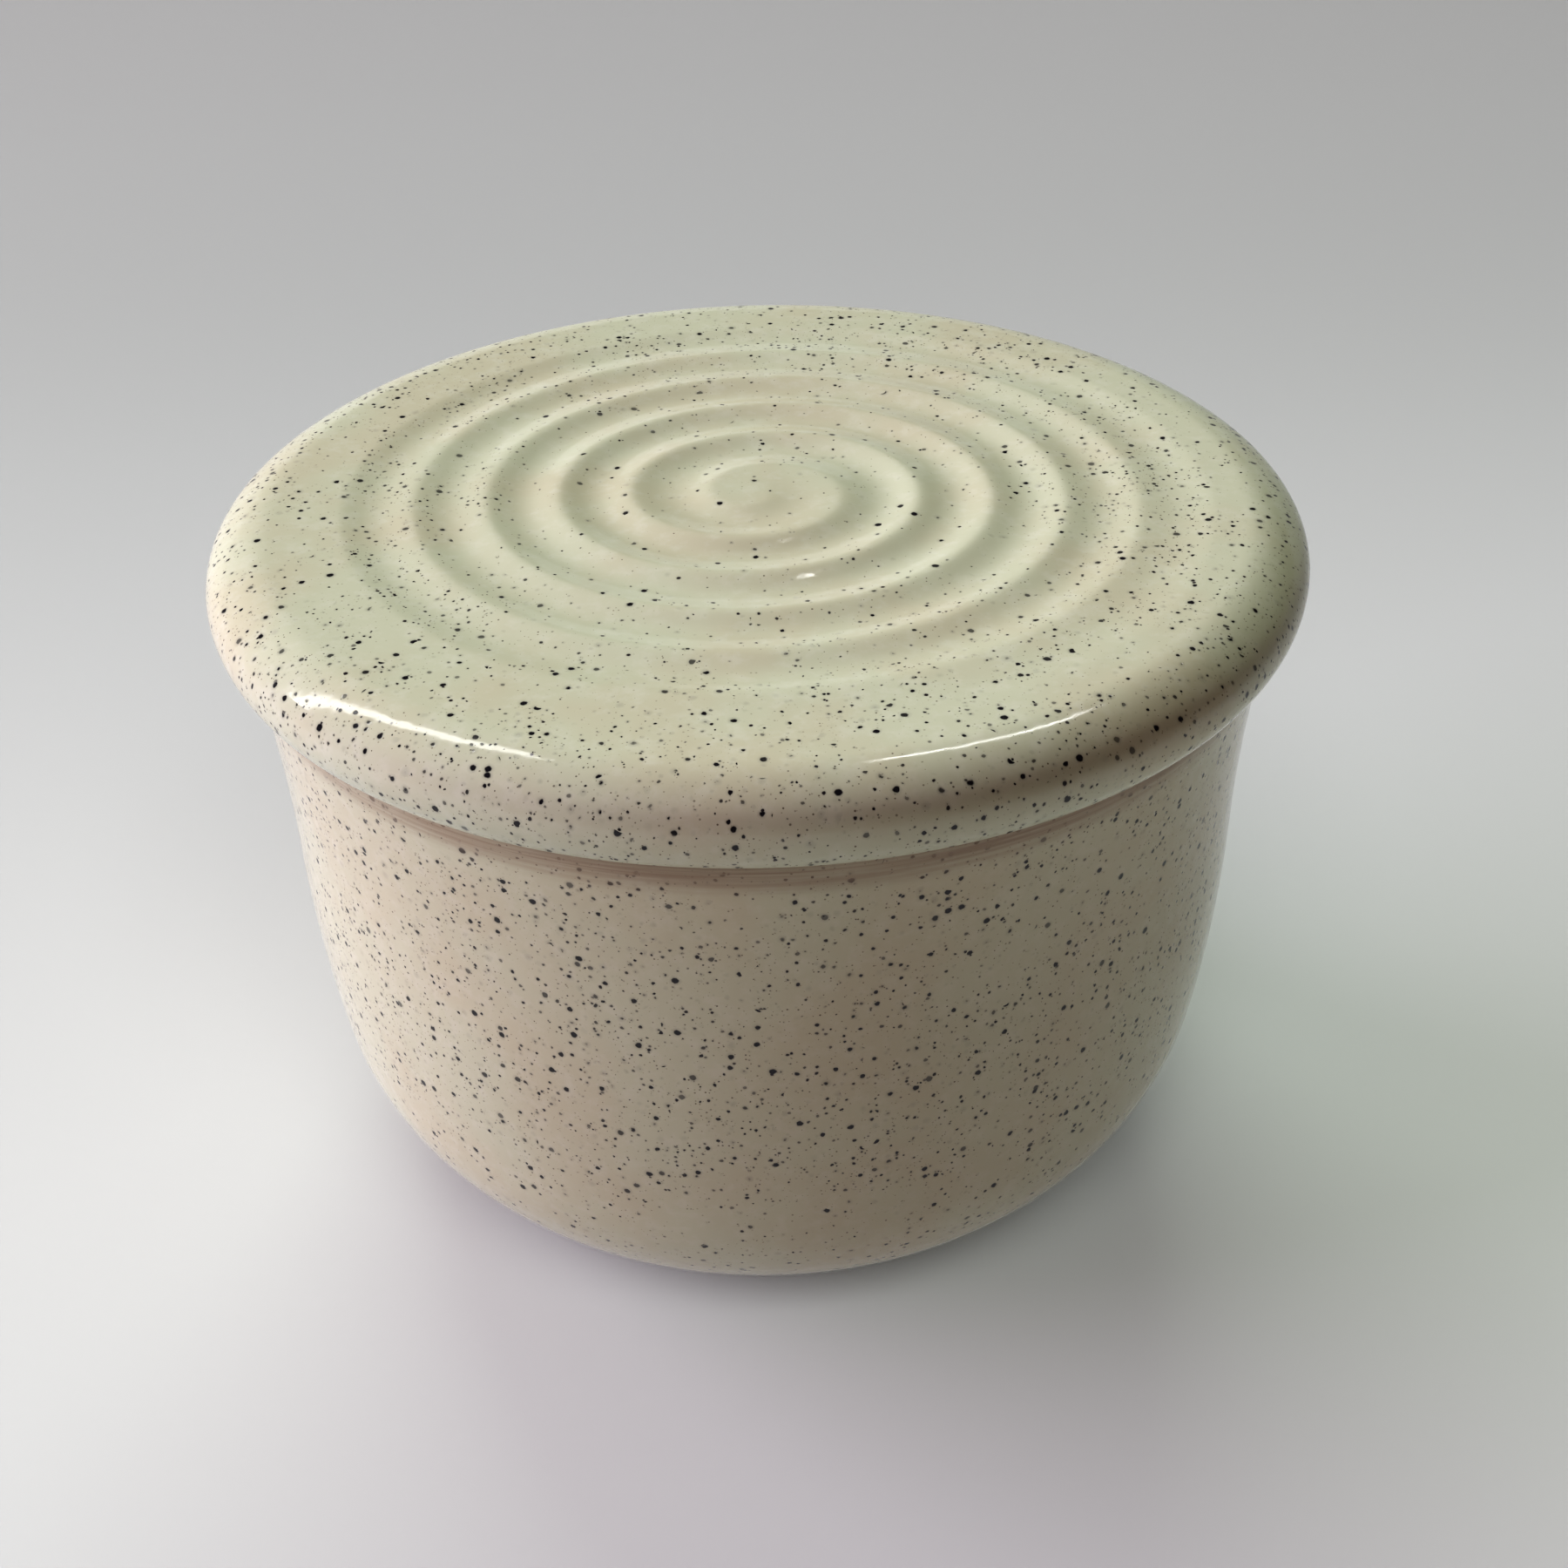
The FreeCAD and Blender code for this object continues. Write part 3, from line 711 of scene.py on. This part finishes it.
def make_paper():
    """Plain paper with painted light: painted paler in front, where more light falls, and greyer towards the
    back, in shade.
    """
    t = new_material("stage_paper")
    paper_painted_lit_front = (0.37, 0.37, 0.37, 1)
    paper_painted_shaded_back = (0.252, 0.252, 0.252, 1)
    parts = t.node("ShaderNodeSeparateXYZ")
    t.feed(parts.inputs[0], t.node("ShaderNodeTexCoord").outputs["Object"])
    # Painted light and shade: the paper's colour brightens towards the front and greys towards the back.
    painted_light_grade = t.ramp(parts.outputs["Y"], -0.08, 0.3)
    shader = t.tree.nodes["Principled BSDF"]
    t.feed(shader.inputs["Base Color"], t.mix(painted_light_grade, paper_painted_lit_front, paper_painted_shaded_back))
    shader.inputs["Roughness"].default_value = 0.9
    shader.inputs["Specular IOR Level"].default_value = 0.1
    return t.owner


def make_stage():
    """A wide paper floor that starts to rise gently behind the crock."""
    floor_reach = 2.5
    rise_start = 0.19
    bend = 0.5
    bend_steps = 16
    slope = math.radians(45)
    far = 0.12
    profile = [(-floor_reach, 0.0), (rise_start, 0.0)]
    for k in range(1, bend_steps + 1):
        turn = slope * k / bend_steps
        profile.append((rise_start + bend * math.sin(turn), bend * (1 - math.cos(turn))))
    last_y, last_z = profile[-1]
    profile.append((last_y + far, last_z + far * math.tan(slope)))
    vertices = [(x, y, z) for x in (-floor_reach, floor_reach) for y, z in profile]
    count = len(profile)
    faces = [(k, k + 1, count + k + 1, count + k) for k in range(count - 1)]
    mesh = bpy.data.meshes.new("stage_sweep")
    mesh.from_pydata(vertices, [], [tuple(reversed(f)) for f in faces])
    mesh.shade_smooth()
    sweep = bpy.data.objects.new("stage_sweep", mesh)
    bpy.context.collection.objects.link(sweep)
    mesh.materials.append(make_paper())
    return sweep


def soft_light(name, azimuth, elevation, away, width, height, power, colour):
    """A light turned to the crock, which leaves no reflection on it. Angles are in degrees, anticlockwise
    from +X and up from the table."""
    a = math.radians(azimuth)
    e = math.radians(elevation)
    place = Vector((math.cos(e) * math.cos(a), math.cos(e) * math.sin(a), math.sin(e))) * away
    holder = hang_light(name, place, -place, width, height, power, colour)
    holder.visible_glossy = False


def hang_light(name, place, facing, width, height, power, colour=(1, 1, 1)):
    """A rectangular light. Lengths are in metres and power is in watts."""
    lamp = bpy.data.lights.new(name, "AREA")
    lamp.shape = "RECTANGLE"
    lamp.size = width
    lamp.size_y = height
    lamp.energy = power
    lamp.color = colour
    holder = bpy.data.objects.new(name, lamp)
    holder.location = place
    holder.rotation_euler = Vector(facing).to_track_quat("-Z", "Y").to_euler()
    bpy.context.collection.objects.link(holder)
    return holder


def make_strips():
    """One long ceiling strip runs across behind the crock, in two lengths. It draws the rim's highlights."""
    behind = 0.867
    left_height = 1.5
    right_height = 1.3
    hang_light(
        "strip_left", (-1.46, behind, left_height), (0, -behind, -left_height),
        width=2.1, height=0.17, power=11,
    )
    hang_light(
        "strip_right", (0.35, behind, right_height), (0, -behind, -right_height),
        width=0.4, height=0.05, power=1.3,
    )


def light_paper(floor):
    """The paper in front of the crock is lit on its own, so that the crock's front stays in shade."""
    holder = hang_light(
        "floor_front", (0.1, -1.4, 1.6), (-0.1, 1.1, -1.6),
        width=1.6, height=1.0, power=44, colour=(0.98, 1.03, 1.0),
    )
    lit = bpy.data.collections.new("lit_by_floor_front")
    lit.objects.link(floor)
    holder.light_linking.receiver_collection = lit


def make_lights(floor):
    """A big window at the left, a light high at the back, and two dim warm fills."""
    soft_light(
        "window_left", azimuth=172, elevation=20, away=3.2,
        width=3.2, height=1.6, power=236, colour=(1.0, 0.915, 1.09),
    )
    soft_light(
        "back_high", azimuth=98, elevation=42, away=2.5,
        width=1.8, height=1.0, power=58, colour=(0.95, 1.09, 0.94),
    )
    soft_light(
        "fill_warm", azimuth=210, elevation=54, away=2.3,
        width=2.4, height=2.0, power=6, colour=(1.0, 0.4, 0.25),
    )
    soft_light(
        "front_warm", azimuth=285, elevation=12, away=2.2,
        width=1.6, height=1.2, power=2.5, colour=(1.0, 0.4, 0.15),
    )
    make_strips()
    light_paper(floor)


def make_world():
    """A dim room with pale walls round the horizon."""
    world = bpy.data.worlds.new("studio")
    bpy.context.scene.world = world
    t = Tree(world)
    wall_colour = (1, 0.85, 0.7, 1)
    wall_strength = 0.3
    ceiling_strength = 0.03
    parts = t.node("ShaderNodeSeparateXYZ")
    t.feed(parts.inputs[0], t.node("ShaderNodeTexCoord").outputs["Generated"])
    walls = t.ramp(parts.outputs["Z"], 0.1, 0.3, low_to=wall_strength, high_to=ceiling_strength)
    background = t.tree.nodes["Background"]
    t.feed(background.inputs["Strength"], walls)
    t.feed(background.inputs["Color"], wall_colour)


def make_camera():
    """At the photograph's angle: in front, looking down, with a slight lean."""
    distance = 3.468 * LID_RADIUS
    height = 3.132 * LID_RADIUS
    pitch = math.radians(34.3)
    yaw = math.radians(0.63)
    lean = math.radians(-1.3)
    forward = Vector((math.sin(yaw) * math.cos(pitch), math.cos(yaw) * math.cos(pitch), -math.sin(pitch)))
    level = Vector((math.cos(yaw), -math.sin(yaw), 0))
    upright = level.cross(forward)
    right = level * math.cos(lean) + upright * math.sin(lean)
    up = upright * math.cos(lean) - level * math.sin(lean)
    turn = Matrix((right, up, -forward)).transposed().to_4x4()
    lens = bpy.data.cameras.new("camera")
    lens.sensor_width = 36.0
    lens.lens = 48.0
    lens.clip_start = 0.01
    camera = bpy.data.objects.new("camera", lens)
    camera.matrix_world = Matrix.Translation((0, -distance, height)) @ turn
    bpy.context.collection.objects.link(camera)
    bpy.context.scene.camera = camera


make_world()
make_lights(make_stage())
make_camera()
view = bpy.context.scene.view_settings
view.view_transform = "Standard"
view.gamma = 0.83
